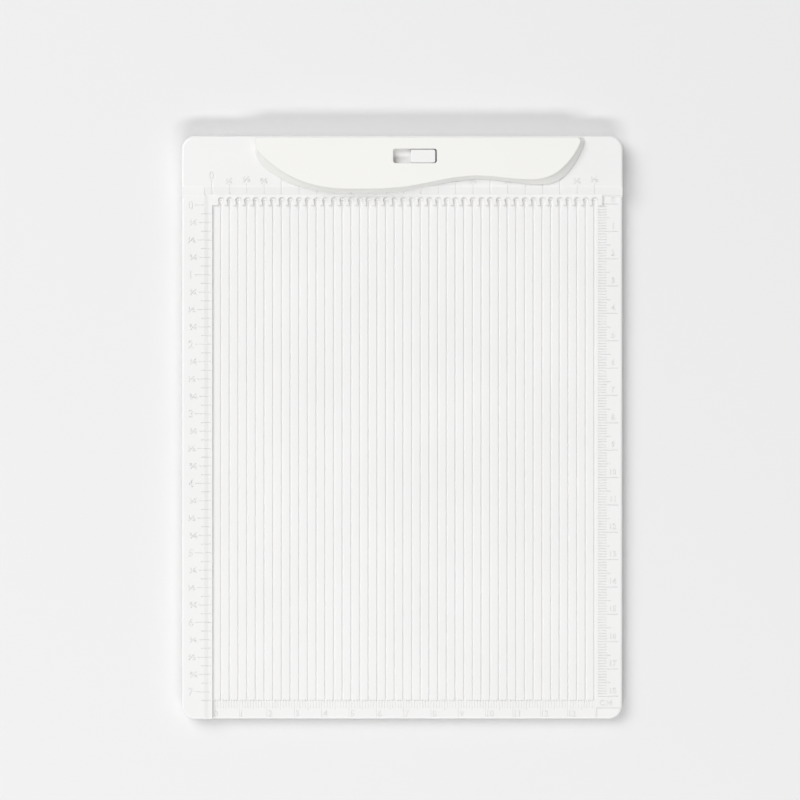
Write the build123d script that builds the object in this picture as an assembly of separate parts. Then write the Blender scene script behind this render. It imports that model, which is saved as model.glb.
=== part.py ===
from build123d import *
import os

os.makedirs("parts", exist_ok=True)

# Everything is drawn from the board's front left corner, x to the right along the score
# lines' scale, y up the paper towards the header, and z up from the table.

# ---- driving dimensions, mm ----------------------------------------------------------
INCH = 25.4
BOARD_W = 161.0              # across the score lines
BOARD_L = 213.0              # along the score lines
BOARD_CORNER = 5.0           # plan radius of the board's corners
RIM = 0.8                    # rounding of the board's upper outer edge

PITCH = INCH / 8             # one score line every eighth of an inch
GROOVES = 44                 # the last one is the 5 1/2 in line
SIDE_FENCE_X = 11.15         # paper stop on the left, zero of the width scale
TOP_FENCE_Y = 187.8          # paper stop under the header, zero of the length scales
FIELD_LENGTH = 7.125 * INCH  # score lines run to the 7 1/8 in mark

# levels above the table
FOOT_STAND = 1.0             # the rubber feet carry the skirt this far off the table
FIELD_Z = 5.5                # the scored field
LEDGE_Z = FIELD_Z + 0.9      # paper stops on two sides
FENCE_Z = FIELD_Z + 1.3      # inch ruler beside the side stop
HEADER_Z = FIELD_Z + 3.1     # the bar that carries the scoring tool
STRIP_Z = FIELD_Z - 0.4      # centimetre ruler along the front edge
CORNER_Z = FIELD_Z - 0.7     # front right corner, where the two centimetre rulers meet

# side fence, from the left edge
FENCE_FLAT = 8.2             # the flat top ends and the slope begins
FENCE_SLOPE_END = 9.65       # the slope meets the ledge

# header, from the front edge
COMB_BACK_Y = 191.3          # the toothed stop ends and the header's slope begins
HEADER_FLAT_Y = 194.4        # the slope reaches the header's flat top
COMB_END_X = 153.7           # right end of the toothed stop
HEADER_ROUND = 0.55          # rounding along the slope's foot and its upper edge
HEADER_TOE = 0.6             # the foot's rounding ends within this much of the level below

# right centimetre ruler
SIDE_RULER_X = 151.6         # left edge of the ruler strip
SIDE_RULER_Y = 4.2           # its front end

# score line and the mouth cut for it in the toothed stop
GROOVE_W = 0.95
GROOVE_DEPTH = 0.5
GROOVE_ROUND = 0.2           # rounding of the groove's bottom
NOTCH_W = 1.8
NOTCH_LIP = 0.35             # rounding of the mouth's corners
NOTCH_DEPTH = 2.95
NOTCH_BULB = 2.25            # the notch's round end is wider than its mouth

# underside: skirt, ribs and foot bosses
SKIRT_T = 2.0
PLATE_T = 2.4                # thickness left above the pockets
RIB_T = 1.2
RIB_RECESS = 0.6             # the ribs stop short of the skirt's lower edge
POCKET_R = 1.0
FIELD_COLUMNS, FIELD_ROWS = 8, 9
WEB_Y = 190.0                # middle of the rib behind the field's pockets
HEADER_POCKET_Y = 193.6      # the header's pockets start here, clear of its slope
BOSS_R = 7.0
FOOT_R = 5.0
FOOT_SEAT = 0.8              # depth of the seat in the boss
FOOT_SEAT_GAP = 0.15         # gap around the foot in its seat
FOOT_ROUND = 0.5
FOOT_INSET_X, FOOT_INSET_Y = 12.0, 12.0

# post that holds the tool, and the tool's slot
POST_X, POST_Y = 88.1, 205.45
POST_W, POST_D = 9.0, 4.85
POST_CORNER = 0.8
POST_H = 2.7
POST_ROUND = 0.3
SLOT_LEFT, SLOT_RIGHT = 77.3, 93.1
SLOT_D = 5.1
SLOT_Y = 205.5
SLOT_CORNER = 0.8
SLOT_BEVEL = 0.2

# scoring tool, lying on the header: a thick body with a blade along its working edge
TOOL_T = 3.0
TOOL_LEFT = 27.2             # blunt end
TOOL_BACK_Y = 212.3          # straight back edge
TOOL_CORNER_R = 1.5
TOOL_ROUND = 0.4             # rounding of the body's upper edge
TOOL_UNDER_ROUND = 0.3
BLADE_ROOT_T = 2.1           # the blade thins from this, where it leaves the body,
BLADE_TIP_T = 0.5            # to this at its edge
# each wavy edge from the blunt end over belly, swell and hollow to the point
BODY_EDGE = [
    (TOOL_LEFT, 207.9),
    (34.8, 201.0),
    (43.3, 196.4),
    (54.0, 193.8),
    (66.0, 193.4),
    (80.0, 194.0),
    (91.0, 195.9),
    (108.0, 198.2),
    (126.0, 196.8),
    (133.5, 197.7),
    (140.0, 202.0),
    (146.2, TOOL_BACK_Y),
]
BLADE_EDGE = [
    (TOOL_LEFT, 207.0),
    (28.7, 203.0),
    (33.1, 199.4),
    (38.1, 196.4),
    (45.0, 194.0),
    (56.0, 192.4),
    (66.0, 192.1),
    (78.0, 192.7),
    (91.0, 194.8),
    (108.0, 197.1),
    (127.0, 195.3),
    (136.9, 196.4),
    (141.6, 200.4),
    (147.4, TOOL_BACK_Y),
]

OVERCUT = 1.0                # cutters reach this far into open air

# ---- worked out ----------------------------------------------------------------------
FIELD_END_Y = TOP_FENCE_Y - FIELD_LENGTH
CENTRE = Pos(-BOARD_W / 2, -BOARD_L / 2)
GROOVE_XS = [SIDE_FENCE_X + PITCH * (i + 1) for i in range(GROOVES)]
FOOT_SPOTS = {
    "foot_front_left": (FOOT_INSET_X, FOOT_INSET_Y),
    "foot_front_right": (BOARD_W - FOOT_INSET_X, FOOT_INSET_Y),
    "foot_back_left": (FOOT_INSET_X, BOARD_L - FOOT_INSET_Y),
    "foot_back_right": (BOARD_W - FOOT_INSET_X, BOARD_L - FOOT_INSET_Y),
}


# ---- helpers -------------------------------------------------------------------------
def block(x0, x1, y0, y1, z0, z1):
    """A box between two corners."""
    box = Box(x1 - x0, y1 - y0, z1 - z0, align=(Align.MIN, Align.MIN, Align.MIN))
    return Pos(x0, y0, z0) * box


def bar_along_y(section, y0, y1):
    """A straight bar whose section is a list of (x, z) corners."""
    face = make_face(Polyline(*[(x, y0, z) for x, z in section], close=True))
    return extrude(face, y1 - y0, dir=(0, 1, 0))


def slab(top):
    """The board's whole outline from the skirt's lower edge to a level, its rim rounded."""
    outline = Pos(BOARD_W / 2, BOARD_L / 2) * RectangleRounded(BOARD_W, BOARD_L, BOARD_CORNER)
    solid = extrude(Pos(0, 0, FOOT_STAND) * outline, top - FOOT_STAND)
    return fillet(solid.edges().group_by(Axis.Z)[-1], RIM)


# ---- board ---------------------------------------------------------------------------
def header_bar(x0, x1, *rise):
    """A length of the header, its front rising through given (y, z) bends, all rounded."""
    toe_y = COMB_BACK_Y - HEADER_TOE
    front = [(toe_y, 0), (toe_y, rise[0][1]), *rise]
    section = make_face(Polyline(*front, (BOARD_L, HEADER_Z), (BOARD_L, 0), close=True))
    bends = [v for v in section.vertices() if (v.X, v.Y) in rise]
    return extrude(Plane.YZ * fillet(bends, HEADER_ROUND), x1 - x0).moved(Pos(x0, 0, 0))


def terraces():
    """The levels of the moulding, each a block standing on the skirt's plane."""
    field_region = block(0, BOARD_W, FIELD_END_Y, BOARD_L, 0, FIELD_Z)
    ruler_region = block(SIDE_RULER_X, BOARD_W, SIDE_RULER_Y, BOARD_L, 0, FIELD_Z)
    strip_region = block(0, SIDE_RULER_X, 0, BOARD_L, 0, STRIP_Z)
    fence_section = [
        (0, 0),
        (0, FENCE_Z),
        (FENCE_FLAT, FENCE_Z),
        (FENCE_SLOPE_END, LEDGE_Z),
        (SIDE_FENCE_X, LEDGE_Z),
        (SIDE_FENCE_X, 0),
    ]
    comb = block(0, COMB_END_X, TOP_FENCE_Y, BOARD_L - BOARD_CORNER, FOOT_STAND, LEDGE_Z)
    comb &= slab(HEADER_Z)
    body = slab(CORNER_Z)
    body += slab(STRIP_Z) & strip_region
    body += slab(FIELD_Z) & (field_region + ruler_region)
    body += slab(FENCE_Z) & bar_along_y(fence_section, 0, BOARD_L)
    body += comb
    foot, edge = (COMB_BACK_Y, LEDGE_Z), (HEADER_FLAT_Y, HEADER_Z)
    header = header_bar(0, FENCE_FLAT, (COMB_BACK_Y, FENCE_Z), edge)
    header += header_bar(FENCE_FLAT, COMB_END_X, foot, edge)
    header += header_bar(COMB_END_X, BOARD_W, (COMB_BACK_Y, FIELD_Z), foot, edge)
    return body + (slab(HEADER_Z) & header)


def groove_cutters():
    """Score lines: V-shaped with a round bottom, from the field's front end into the notches."""
    half = GROOVE_W / 2
    sides = [(half, 0), (half, OVERCUT), (-half, OVERCUT), (-half, 0)]
    section = make_face(Polyline((0, -GROOVE_DEPTH), *sides, close=True))
    section = fillet(section.vertices().group_by(Axis.Y)[0], GROOVE_ROUND)
    length = TOP_FENCE_Y + NOTCH_DEPTH - NOTCH_BULB / 2 - FIELD_END_Y
    cutter = extrude(Plane.XZ * section, length, dir=(0, 1, 0))
    return [Pos(x, FIELD_END_Y, FIELD_Z) * cutter for x in GROOVE_XS]


def notch_cutters():
    """Mouths in the toothed stop that let the tool start beyond the paper's edge."""
    bulb = NOTCH_BULB / 2
    neck = NOTCH_DEPTH - bulb
    plan = Pos(0, neck / 2) * Rectangle(NOTCH_W, neck)
    plan += Pos(0, neck) * Circle(bulb)
    mouth = Rectangle(NOTCH_W + 2 * NOTCH_LIP, 2 * NOTCH_LIP)
    corner = NOTCH_W / 2 + NOTCH_LIP
    mouth -= [Pos(side * corner, NOTCH_LIP) * Circle(NOTCH_LIP) for side in (-1, 1)]
    shaft = extrude(plan + mouth, LEDGE_Z - FIELD_Z + OVERCUT)
    return [Pos(x, TOP_FENCE_Y, FIELD_Z) * shaft for x in GROOVE_XS]


def pocket_row(columns, rows, x0, x1, y0, y1, ceiling):
    """Rectangular pockets between ribs, open downwards."""
    wide = (x1 - x0 - RIB_T * (columns - 1)) / columns
    long = (y1 - y0 - RIB_T * (rows - 1)) / rows
    cell = extrude(RectangleRounded(wide, long, POCKET_R), ceiling)
    middle = Pos((x0 + x1) / 2, (y0 + y1) / 2)
    spots = GridLocations(wide + RIB_T, long + RIB_T, columns, rows)
    return [middle * spot * cell for spot in spots]


def underside_cutters():
    """The hollow inside the skirt, split into pockets by ribs."""
    left, right = SKIRT_T, BOARD_W - SKIRT_T
    front, back = SKIRT_T, BOARD_L - SKIRT_T
    inner = RectangleRounded(right - left, back - front, BOARD_CORNER - SKIRT_T)
    recess = extrude(Pos(BOARD_W / 2, BOARD_L / 2) * inner, FOOT_STAND + RIB_RECESS)
    web = RIB_T / 2
    field = pocket_row(FIELD_COLUMNS, FIELD_ROWS, left, right, front, WEB_Y - web,
                       FIELD_Z - PLATE_T)
    header = pocket_row(FIELD_COLUMNS, 1, left, right, HEADER_POCKET_Y, back,
                        HEADER_Z - PLATE_T)
    return [recess] + field + header


def score_board():
    """One moulding: field, fences, header and post above, ribs and bosses below."""
    body = terraces() - groove_cutters() - notch_cutters() - underside_cutters()
    seat = extrude(Circle(FOOT_R + FOOT_SEAT_GAP), FOOT_SEAT)
    for x, y in FOOT_SPOTS.values():
        ceiling = (HEADER_Z if y > COMB_BACK_Y else FIELD_Z) - PLATE_T
        body += Pos(x, y, FOOT_STAND) * extrude(Circle(BOSS_R), ceiling - FOOT_STAND)
        body -= Pos(x, y, FOOT_STAND) * seat
    post = extrude(RectangleRounded(POST_W, POST_D, POST_CORNER), POST_H)
    post = fillet(post.edges().group_by(Axis.Z)[-1], POST_ROUND)
    return body + Pos(POST_X, POST_Y, HEADER_Z) * post


# ---- feet ----------------------------------------------------------------------------
def foot():
    """A round non-slip foot stuck in its seat, its lower edge rounded."""
    disc = extrude(Circle(FOOT_R), FOOT_STAND + FOOT_SEAT)
    return fillet(disc.edges().group_by(Axis.Z)[0], FOOT_ROUND)


# ---- scoring tool --------------------------------------------------------------------
def tool_outline(edge):
    """A plan with a straight back, a blunt left end and a wavy edge through given points."""
    back = (TOOL_LEFT, TOOL_BACK_Y)
    outline = make_face([Line(edge[-1], back), Line(back, edge[0]), Spline(*edge)])
    ends = outline.vertices().group_by(Axis.X)
    return fillet(ends[0] + ends[-1], TOOL_CORNER_R)


def scoring_tool():
    """Flat folder: straight back, bladed working edge, a point and a hanging slot."""
    body = extrude(tool_outline(BODY_EDGE), TOOL_T)
    body = fillet(body.edges().group_by(Axis.Z)[-1], TOOL_ROUND)
    edge = tool_outline(BLADE_EDGE)
    root = tool_outline(BODY_EDGE)
    body += extrude(edge, BLADE_TIP_T)
    body += loft([Pos(0, 0, BLADE_TIP_T) * edge, Pos(0, 0, BLADE_ROOT_T) * root], ruled=True)
    body = fillet(body.edges().group_by(Axis.Z)[0], TOOL_UNDER_ROUND)
    slot = RectangleRounded(SLOT_RIGHT - SLOT_LEFT, SLOT_D, SLOT_CORNER)
    slot = Pos((SLOT_LEFT + SLOT_RIGHT) / 2, SLOT_Y) * extrude(slot, TOOL_T)
    body -= slot
    mouth = body.faces().sort_by(Axis.Z)[-1].inner_wires()[0]
    body = chamfer(mouth.edges(), SLOT_BEVEL)
    return Pos(0, 0, HEADER_Z) * body


# ---- export --------------------------------------------------------------------------
export_step(CENTRE * score_board(), "parts/score_board.step")
export_step(CENTRE * scoring_tool(), "parts/scoring_tool.step")
for name, (x, y) in FOOT_SPOTS.items():
    export_step(CENTRE * Pos(x, y) * foot(), f"parts/{name}.step")
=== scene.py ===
import math

import bmesh
import bpy
from mathutils import Matrix, Vector
from mathutils.bvhtree import BVHTree
from mathutils.kdtree import KDTree


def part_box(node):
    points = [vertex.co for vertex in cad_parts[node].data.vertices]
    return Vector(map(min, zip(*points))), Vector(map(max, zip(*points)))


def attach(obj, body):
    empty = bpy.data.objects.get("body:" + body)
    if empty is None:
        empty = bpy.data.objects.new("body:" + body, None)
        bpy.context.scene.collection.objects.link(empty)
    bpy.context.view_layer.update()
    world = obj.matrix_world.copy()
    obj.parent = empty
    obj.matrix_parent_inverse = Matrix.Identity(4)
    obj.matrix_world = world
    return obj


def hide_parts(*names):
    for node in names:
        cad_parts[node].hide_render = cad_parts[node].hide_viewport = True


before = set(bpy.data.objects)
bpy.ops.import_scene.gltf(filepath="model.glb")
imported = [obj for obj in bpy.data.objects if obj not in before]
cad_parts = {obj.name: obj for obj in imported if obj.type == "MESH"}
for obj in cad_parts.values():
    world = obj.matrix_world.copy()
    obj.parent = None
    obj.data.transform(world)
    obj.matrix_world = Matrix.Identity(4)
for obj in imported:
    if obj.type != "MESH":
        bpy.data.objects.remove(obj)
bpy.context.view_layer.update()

MM = 0.001
INCH = 25.4
UP = Vector((0, 0, 1))

# ---- the board's scales, millimetres from its front left corner -----------------------
ZERO_X = 11.15                # side stop: zero of the scales that run across
ZERO_Y = 187.8                # toothed stop: zero of the scales that run along

# engraved lines and figures
MARK_W = 0.38
MARK_DEPTH = 0.22
MARK_DRAFT = 0.8              # share of its width that a mark loses down to its floor
FIGURE_DEPTH = 0.2
FIGURE_BOLD = 0.016           # share of its body by which a figure is thickened
FRACTION_H = 2.0
FRACTION_STRETCH = 1.5        # fractions are set wide
FRACTIONS = {1: "¼", 2: "½", 3: "¾"}

# left inch scale: where each class of mark starts, and its label
SIDE_MARK_END = 10.7
SIDE_ZERO_END = 8.0
SIDE_MARKS = {8: 4.95, 4: 5.75, 2: 6.4, 1: 7.15}
SIDE_INCHES = 7.125
SIDE_NUMBER_X, SIDE_NUMBER_H = 3.5, 2.8
SIDE_FRACTION_X = {1: 4.35, 2: 3.8, 3: 4.35}

# header inch scale, marked in quarters: how far each class rises above the slope's edge
HEADER_EDGE_Y = 194.4
HEADER_MARK_START = 192.0
HEADER_MARKS = {4: 2.3, 2: 1.25, 1: 0.85}
HEADER_LABEL_GAPS = {4: 0.45, 2: 0.5, 1: 0.3}
HEADER_NUMBER_H = 2.8
HEADER_QUARTERS = 22
HEADER_INCH_MARK_W = 0.9      # the header's inch marks are broad

# front centimetre scale: how far each class of mark runs, from its start at the field
FRONT_MARK_START = 7.0
FRONT_MARKS = {10: 0.65, 5: 3.3, 1: 4.0}
FRONT_MM = 140
FRONT_MARK_W, FRONT_MARK_DEPTH = 0.32, 0.16
FRONT_NUMBER_Y, FRONT_NUMBER_H = 2.0, 2.3
FRONT_NUMBER_GAP = 0.6

# right centimetre scale, whose zero lies a little behind the toothed stop
RIGHT_ZERO_Y = 188.3
RIGHT_MARK_START = 152.25
RIGHT_ZERO_START = 154.1
RIGHT_MARKS = {10: 159.5, 5: 156.7, 1: 155.3}
RIGHT_MM = 180
RIGHT_MARK_W, RIGHT_MARK_DEPTH = 0.46, 0.28
RIGHT_NUMBER_X, RIGHT_NUMBER_H = 157.75, 2.1
RIGHT_NUMBER_GAP = 1.05
RIGHT_ZERO_GAP = 0.4          # keeps the zero clear of the header's slope
UNIT_LETTERS = {"C": 153.7, "M": 156.35}
UNIT_Y, UNIT_H = 5.95, 2.1

# tolerances
WELD = 1e-7                   # metres within which corners are one
SAME_SPOT = 1e-6              # metres within which a corner comes from the CAD mesh
SAME_FACE = 0.98              # cosine above which two faces are one surface

# ---- helpers --------------------------------------------------------------------------
board_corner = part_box("score_board")[0]
scene = bpy.context.scene


def link(obj):
    scene.collection.objects.link(obj)
    return obj


def over_board(x, y):
    """A point in the frame from millimetres measured from the board's front left corner."""
    return Vector((board_corner.x + x * MM, board_corner.y + y * MM, 0))


def welded(source, name):
    """A closed copy of a CAD mesh."""
    bm = bmesh.new()
    bm.from_mesh(source)
    bmesh.ops.remove_doubles(bm, verts=bm.verts, dist=WELD)
    mesh = bpy.data.meshes.new(name)
    bm.to_mesh(mesh)
    bm.free()
    return mesh


def bake(obj):
    """Applies every modifier of an object to its mesh."""
    dg = bpy.context.evaluated_depsgraph_get()
    mesh = bpy.data.meshes.new_from_object(obj.evaluated_get(dg))
    obj.modifiers.clear()
    obj.data = mesh


def shade_like(mesh, source):
    """Gives the corners that come from a CAD mesh its normals there, and the rest their face's."""
    facing = [[] for _ in source.vertices]
    for face in source.polygons:
        for corner in face.loop_indices:
            vertex = source.loops[corner].vertex_index
            facing[vertex].append((face.normal.copy(), source.corner_normals[corner].vector.copy()))
    tree = KDTree(len(source.vertices))
    for vertex in source.vertices:
        tree.insert(vertex.co, vertex.index)
    tree.balance()
    known = [
        [pair for _, index, _ in tree.find_range(vertex.co, SAME_SPOT) for pair in facing[index]]
        for vertex in mesh.vertices
    ]
    normals = []
    for face in mesh.polygons:
        for vertex in face.vertices:
            best = max(known[vertex], key=lambda pair: pair[0].dot(face.normal), default=None)
            same = best and best[0].dot(face.normal) > SAME_FACE
            normals.append(best[1] if same else face.normal.copy())
    mesh.shade_smooth()
    mesh.normals_split_custom_set(normals)


# ---- engraved scales ------------------------------------------------------------------
class Marks:
    """Collects cutters that engrave lines and figures into the board's upper surface."""

    def __init__(self, board_mesh):
        self.tree = BVHTree.FromPolygons(
            [v.co for v in board_mesh.vertices],
            [p.vertices for p in board_mesh.polygons],
        )
        self.bm = bmesh.new()
        self.glyphs = {}

    def surface(self, x, y):
        """The board's upper surface at a place in millimetres."""
        return self.tree.ray_cast(over_board(x, y) + UP, -UP)[0]

    def path(self, start, end, step=0.1, bend=math.radians(3)):
        """Surface points from start to end, only where the slope changes."""
        start, end = Vector(start), Vector(end)
        count = max(2, round((end - start).length / step))
        points = [self.surface(*start.lerp(end, i / count)) for i in range(count + 1)]
        kept = [points[0]]
        for before, here, after in zip(points, points[1:], points[2:]):
            if (here - before).angle(after - here) > bend:
                kept.append(here)
        return [*kept, points[-1]]

    def line(self, start, end, width=MARK_W, depth=MARK_DEPTH):
        """An engraved line that follows the surface."""
        points = self.path(start, end)
        along = points[-1] - points[0]
        along.z = 0
        side = along.normalized().cross(UP)
        rings = []
        for point in points:
            ring = []
            for lift, hand in ((1, 1), (1, -1), (-1, -1), (-1, 1)):
                half = width * MM / 2 * (1 + lift * MARK_DRAFT)
                corner = point + UP * (lift * depth * MM) + side * (hand * half)
                ring.append(self.bm.verts.new(corner))
            rings.append(ring)
        for a, b in zip(rings, rings[1:]):
            for i in range(4):
                j = (i + 1) % 4
                self.bm.faces.new((a[i], a[j], b[j], b[i]))
        self.bm.faces.new(rings[0])
        self.bm.faces.new(rings[-1])

    def glyph(self, text):
        """A figure's solid, one unit tall and centred."""
        if text not in self.glyphs:
            curve = bpy.data.curves.new("figure", "FONT")
            curve.body = text
            curve.extrude = 1
            curve.offset = FIGURE_BOLD
            curve.resolution_u = 3
            holder = link(bpy.data.objects.new("figure", curve))
            dg = bpy.context.evaluated_depsgraph_get()
            mesh = bpy.data.meshes.new_from_object(holder.evaluated_get(dg))
            bpy.data.objects.remove(holder)
            xs, ys = zip(*((v.co.x, v.co.y) for v in mesh.vertices))
            centre = Vector(((min(xs) + max(xs)) / 2, (min(ys) + max(ys)) / 2, 0))
            tall = max(ys) - min(ys)
            size = Matrix.Diagonal((1 / tall, 1 / tall, 1, 1))
            mesh.transform(size @ Matrix.Translation(-centre))
            self.glyphs[text] = (mesh, (max(xs) - min(xs)) / tall)
        return self.glyphs[text]

    def figure(self, text, x, y, height, left=False, stretch=1):
        """A figure centred on x, or starting there, and centred on y; stretch widens it."""
        mesh, width = self.glyph(text)
        if left:
            x += width * height / 2
        place = Matrix.Translation(self.surface(x, y))
        size = Matrix.Diagonal((height * stretch * MM, height * MM, FIGURE_DEPTH * MM, 1))
        placed = mesh.copy()
        placed.transform(place @ size)
        self.bm.from_mesh(placed)

    def cutter(self):
        """All the marks as one object."""
        bmesh.ops.remove_doubles(self.bm, verts=self.bm.verts, dist=WELD)
        bmesh.ops.recalc_face_normals(self.bm, faces=self.bm.faces)
        mesh = bpy.data.meshes.new("marks")
        self.bm.to_mesh(mesh)
        self.bm.free()
        return link(bpy.data.objects.new("marks", mesh))


def letter_m():
    """The solid of an M, one unit tall and centred."""
    left = [(-0.34, -0.5), (-0.5, -0.5), (-0.5, 0.5), (-0.33, 0.5)]
    middle = [(0, -0.08)]
    right = [(-x, y) for x, y in reversed(left)]
    outline = [*left, *middle, *right, (0.34, 0.2), (0, -0.38), (-0.34, 0.2)]
    bm = bmesh.new()
    low, high = ([bm.verts.new((x, y, z)) for x, y in outline] for z in (-1, 1))
    bm.faces.new(low)
    bm.faces.new(high)
    for i in range(len(outline)):
        bm.faces.new((low[i - 1], low[i], high[i], high[i - 1]))
    mesh = bpy.data.meshes.new("letter_m")
    bm.to_mesh(mesh)
    bm.free()
    return mesh


def grade(count, steps):
    """The largest step that divides a count, such as the inch, half or quarter."""
    return next(step for step in steps if count % step == 0)


def side_inch_scale(marks):
    for i in range(int(SIDE_INCHES * 8) + 1):
        y = ZERO_Y - i * INCH / 8
        kind = grade(i, SIDE_MARKS)
        end = SIDE_MARK_END if i else SIDE_ZERO_END
        marks.line((SIDE_MARKS[kind], y), (end, y))
        if i % 8 == 0:
            marks.figure(str(i // 8), SIDE_NUMBER_X, y, SIDE_NUMBER_H)
        elif i % 2 == 0:
            quarter = i // 2 % 4
            middle = SIDE_FRACTION_X[quarter]
            marks.figure(FRACTIONS[quarter], middle, y, FRACTION_H, stretch=FRACTION_STRETCH)


def header_inch_scale(marks):
    for i in range(HEADER_QUARTERS + 1):
        x = ZERO_X + i * INCH / 4
        kind = grade(i, HEADER_MARKS)
        top = HEADER_EDGE_Y + HEADER_MARKS[kind]
        marks.line((x, HEADER_MARK_START), (x, top), HEADER_INCH_MARK_W if kind == 4 else MARK_W)
        base = top + HEADER_LABEL_GAPS[kind]
        if i % 4 == 0:
            marks.figure(str(i // 4), x, base + HEADER_NUMBER_H / 2, HEADER_NUMBER_H)
        else:
            middle = base + FRACTION_H / 2
            marks.figure(FRACTIONS[i % 4], x, middle, FRACTION_H, stretch=FRACTION_STRETCH)


def front_centimetre_scale(marks):
    for i in range(1, FRONT_MM + 1):
        x = ZERO_X + i
        end = FRONT_MARKS[grade(i, FRONT_MARKS)]
        marks.line((x, FRONT_MARK_START), (x, end), FRONT_MARK_W, FRONT_MARK_DEPTH)
    for cm in range(FRONT_MM // 10):
        x = ZERO_X + 10 * cm + FRONT_NUMBER_GAP
        marks.figure(str(cm), x, FRONT_NUMBER_Y, FRONT_NUMBER_H, left=True)


def right_centimetre_scale(marks):
    for i in range(RIGHT_MM + 1):
        y = RIGHT_ZERO_Y - i
        start = RIGHT_MARK_START if i else RIGHT_ZERO_START
        end = RIGHT_MARKS[grade(i, RIGHT_MARKS)]
        marks.line((start, y), (end, y), RIGHT_MARK_W, RIGHT_MARK_DEPTH)
        if i % 10 == 0:
            gap = RIGHT_NUMBER_GAP if i else RIGHT_ZERO_GAP
            middle = y + gap + RIGHT_NUMBER_H / 2
            marks.figure(str(i // 10), RIGHT_NUMBER_X, middle, RIGHT_NUMBER_H)
    marks.glyphs["M"] = (letter_m(), 1)
    for letter, x in UNIT_LETTERS.items():
        marks.figure(letter, x, UNIT_Y, UNIT_H)


def board_moulding():
    """The CAD board with its scales engraved and the CAD's own smooth shading."""
    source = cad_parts["score_board"]
    board = link(bpy.data.objects.new("board_moulding", welded(source.data, "board_moulding")))
    marks = Marks(board.data)
    side_inch_scale(marks)
    header_inch_scale(marks)
    front_centimetre_scale(marks)
    right_centimetre_scale(marks)
    cutter = marks.cutter()
    engrave = board.modifiers.new("scales", "BOOLEAN")
    engrave.operation = "DIFFERENCE"
    engrave.solver = "MANIFOLD"
    engrave.object = cutter
    bake(board)
    bpy.data.objects.remove(cutter)
    shade_like(board.data, source.data)
    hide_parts("score_board")
    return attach(board, "board")


# ---- materials ------------------------------------------------------------------------
def node(tree, kind, inputs=None, **settings):
    """A shader node with its settings and the values or links of its inputs."""
    made = tree.nodes.new(kind)
    for name, value in settings.items():
        setattr(made, name, value)
    for key, value in (inputs or {}).items():
        if isinstance(value, bpy.types.NodeSocket):
            tree.links.new(value, made.inputs[key])
        else:
            made.inputs[key].default_value = value
    return made


def ramp(tree, factor, low, high, start, end):
    """A factor spread over a range, turned into a blend of two values."""
    return node(
        tree,
        "ShaderNodeMapRange",
        {"Value": factor, "From Min": start, "From Max": end, "To Min": low, "To Max": high},
    ).outputs["Result"]


def blended(tree, way, first, second, factor=1.0):
    """Two colours blended by a factor."""
    return node(
        tree,
        "ShaderNodeMix",
        {"Factor": factor, "A": first, "B": second},
        data_type="RGBA",
        blend_type=way,
    ).outputs["Result"]


def grey_blade(mat, tone):
    """Paints shade on the faces that tilt forwards, darkening the blade's sloping band."""
    tree = mat.node_tree
    target = tree.nodes["Principled BSDF"].inputs["Base Color"]
    colour = target.links[0].from_socket
    facing = node(tree, "ShaderNodeTexCoord").outputs["Normal"]
    parts = node(tree, "ShaderNodeSeparateXYZ", {0: facing}).outputs
    keep = ramp(tree, parts["Z"], tone, 1, 0.93, 0.99)
    for other in (ramp(tree, parts["Z"], 1, 0, 0.2, 0.35), ramp(tree, parts["Y"], 0, 1, 0, 0.1)):
        keep = node(tree, "ShaderNodeMath", {0: keep, 1: other}, operation="MAXIMUM").outputs[0]
    tree.links.new(blended(tree, "MULTIPLY", colour, keep), target)


EDGE_EASE = 0.12              # millimetres that sharp edges look rounded by
EDGE_HIGHLIGHT_WIDTH = 0.45             # millimetres that the painted edge highlight reaches from an edge
# colour screened onto convex edges as a painted highlight
EDGE_HIGHLIGHT_COLOUR = (0.3, 0.3, 0.3, 1)
BLOTCH_SIZE, SPECK_SIZE = 35, 1.3
BLOTCH_GLOSS, SPECK_GLOSS = 0.03, 0.02


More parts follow.
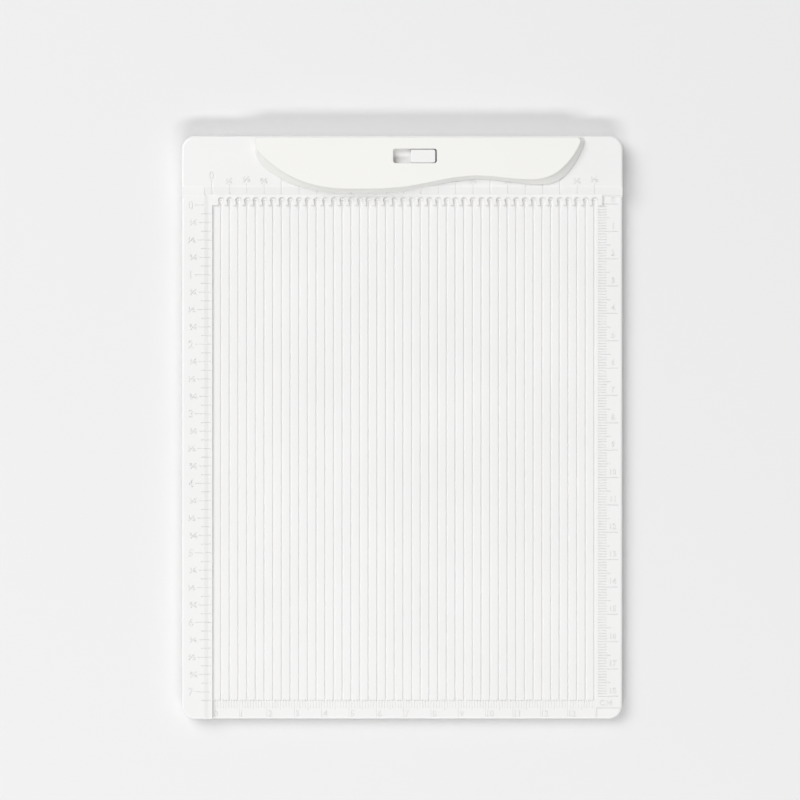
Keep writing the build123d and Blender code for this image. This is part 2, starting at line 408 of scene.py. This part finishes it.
def plastic(name, colours, roughness, grain, crevice_shade):
    """Plastic: faint blotches, a fine mould texture, painted highlights on convex edges, painted
    shade in crevices.

    The grain is its size and depth, the crevice shade its reach in millimetres and its tone.
    """
    mat = bpy.data.materials.new(name)
    mat.use_nodes = True
    tree = mat.node_tree
    shader = tree.nodes["Principled BSDF"]
    where = node(tree, "ShaderNodeTexCoord").outputs["Object"]

    def noise(size_mm, detail):
        made = node(
            tree,
            "ShaderNodeTexNoise",
            {"Vector": where, "Scale": 1 / (size_mm * MM), "Detail": detail},
        )
        return made.outputs["Fac"]

    grain_size, grain_depth = grain
    cloud, speck, pits = noise(BLOTCH_SIZE, 3), noise(SPECK_SIZE, 2), noise(grain_size, 2)
    blotch = ramp(tree, cloud, 0, 1, 0.35, 0.65)
    light, dark = ((*colour, 1) for colour in colours)
    tint = blended(tree, "MIX", light, dark, blotch)

    eased = node(tree, "ShaderNodeBevel", {"Radius": EDGE_HIGHLIGHT_WIDTH * MM}, samples=4)
    flat = node(tree, "ShaderNodeNewGeometry").outputs["Normal"]
    turn = node(
        tree,
        "ShaderNodeVectorMath",
        {0: eased.outputs["Normal"], 1: flat},
        operation="DOT_PRODUCT",
    )
    # painted highlight: convex edges, found by the rounded bevel normal, are lightened and broken
    # up by specks
    edge = ramp(tree, turn.outputs["Value"], 1, 0, 0.82, 0.995)
    edge_highlight = node(tree, "ShaderNodeMath", {0: edge, 1: speck}, operation="MULTIPLY").outputs[0]
    highlighted = blended(tree, "SCREEN", tint, EDGE_HIGHLIGHT_COLOUR, edge_highlight)
    # painted shade: the base colour is darkened where ambient occlusion finds crevices and recesses
    reach, tone = crevice_shade
    sky = node(tree, "ShaderNodeAmbientOcclusion", {"Distance": reach * MM}, samples=8)
    painted_crevice_shade = ramp(tree, sky.outputs["AO"], tone, 1, 0.5, 1)
    tree.links.new(blended(tree, "MULTIPLY", highlighted, painted_crevice_shade), shader.inputs["Base Color"])

    fine = ramp(tree, speck, roughness - SPECK_GLOSS, roughness + SPECK_GLOSS, 0.2, 0.8)
    broad = ramp(tree, cloud, -BLOTCH_GLOSS, BLOTCH_GLOSS, 0.3, 0.7)
    gloss = node(tree, "ShaderNodeMath", {0: fine, 1: broad}, operation="ADD")
    tree.links.new(gloss.outputs[0], shader.inputs["Roughness"])

    soft = node(tree, "ShaderNodeBevel", {"Radius": EDGE_EASE * MM}, samples=6)
    bump = node(
        tree,
        "ShaderNodeBump",
        {
            "Height": pits,
            "Strength": 1.0,
            "Distance": grain_depth * MM,
            "Normal": soft.outputs["Normal"],
        },
    )
    tree.links.new(bump.outputs["Normal"], shader.inputs["Normal"])
    return mat


def paint(obj, mat):
    obj.data.materials.clear()
    obj.data.materials.append(mat)


# ---- pieces ---------------------------------------------------------------------------
board = board_moulding()
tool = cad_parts["scoring_tool"]

board_plastic = plastic(
    "board_plastic",
    colours=[(0.88, 0.875, 0.87), (0.86, 0.855, 0.85)],
    roughness=0.32,
    grain=(0.16, 0.003),
    crevice_shade=(0.8, 0.95),
)
tool_plastic = plastic(
    "tool_plastic",
    colours=[(0.89, 0.885, 0.86), (0.88, 0.875, 0.85)],
    roughness=0.32,
    grain=(0.2, 0.002),
    crevice_shade=(2.2, 0.86),
)
# painted shade on the tool's forward-tilting faces
grey_blade(tool_plastic, 0.88)
rubber = plastic(
    "foot_rubber",
    colours=[(0.55, 0.55, 0.54), (0.48, 0.48, 0.47)],
    roughness=0.75,
    grain=(0.25, 0.01),
    crevice_shade=(1, 0.8),
)
paint(board, board_plastic)
paint(tool, tool_plastic)
for name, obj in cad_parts.items():
    if name.startswith("foot_"):
        paint(obj, rubber)


# ---- studio ---------------------------------------------------------------------------
VIEW_CENTRE = (-0.0008, 0.0101)   # what the camera looks straight down at
VIEW_WIDTH = 0.2925               # of the view at the scored field
FIELD_Z = 0.0055
CAMERA_HEIGHT = 1.5               # above the scored field
FLOOR_COLOUR = (0.82, 0.82, 0.82, 1)


def floor():
    """A pale sheet far larger than the view."""
    bm = bmesh.new()
    bmesh.ops.create_grid(bm, x_segments=1, y_segments=1, size=3)
    mesh = bpy.data.meshes.new("floor")
    bm.to_mesh(mesh)
    bm.free()
    made = link(bpy.data.objects.new("floor", mesh))
    mat = bpy.data.materials.new("floor_paper")
    mat.use_nodes = True
    shader = mat.node_tree.nodes["Principled BSDF"]
    shader.inputs["Base Color"].default_value = FLOOR_COLOUR
    shader.inputs["Roughness"].default_value = 0.9
    mesh.materials.append(mat)


def softbox(name, place, width, height, power):
    """A rectangular soft light aimed at the object."""
    light = bpy.data.lights.new(name, "AREA")
    light.shape = "RECTANGLE"
    light.size, light.size_y = width, height
    light.energy = power
    made = link(bpy.data.objects.new(name, light))
    made.location = place
    made.rotation_euler = (-Vector(place)).to_track_quat("-Z", "Y").to_euler()


def light_tent(overhead, level):
    """White surroundings, brighter towards the level than overhead."""
    world = bpy.data.worlds.new("studio")
    world.use_nodes = True
    tree = world.node_tree
    direction = node(tree, "ShaderNodeTexCoord").outputs["Generated"]
    height = node(tree, "ShaderNodeSeparateXYZ", {0: direction}).outputs["Z"]
    background = tree.nodes["Background"]
    background.inputs["Color"].default_value = (1, 1, 1, 1)
    tree.links.new(ramp(tree, height, level, overhead, 0, 0.6), background.inputs["Strength"])
    scene.world = world


floor()
softbox("key", (-1.35, 1.1, 2.15), 1.8, 1.8, 44)
softbox("front_strip", (0.1, -1.3, 1.55), 1.6, 0.35, 17)
light_tent(0.3, 0.8)
scene.view_settings.view_transform = "Standard"

lens = bpy.data.cameras.new("camera")
camera = link(bpy.data.objects.new("camera", lens))
camera.location = (*VIEW_CENTRE, FIELD_Z + CAMERA_HEIGHT)
lens.lens = lens.sensor_width * CAMERA_HEIGHT / VIEW_WIDTH
scene.camera = camera
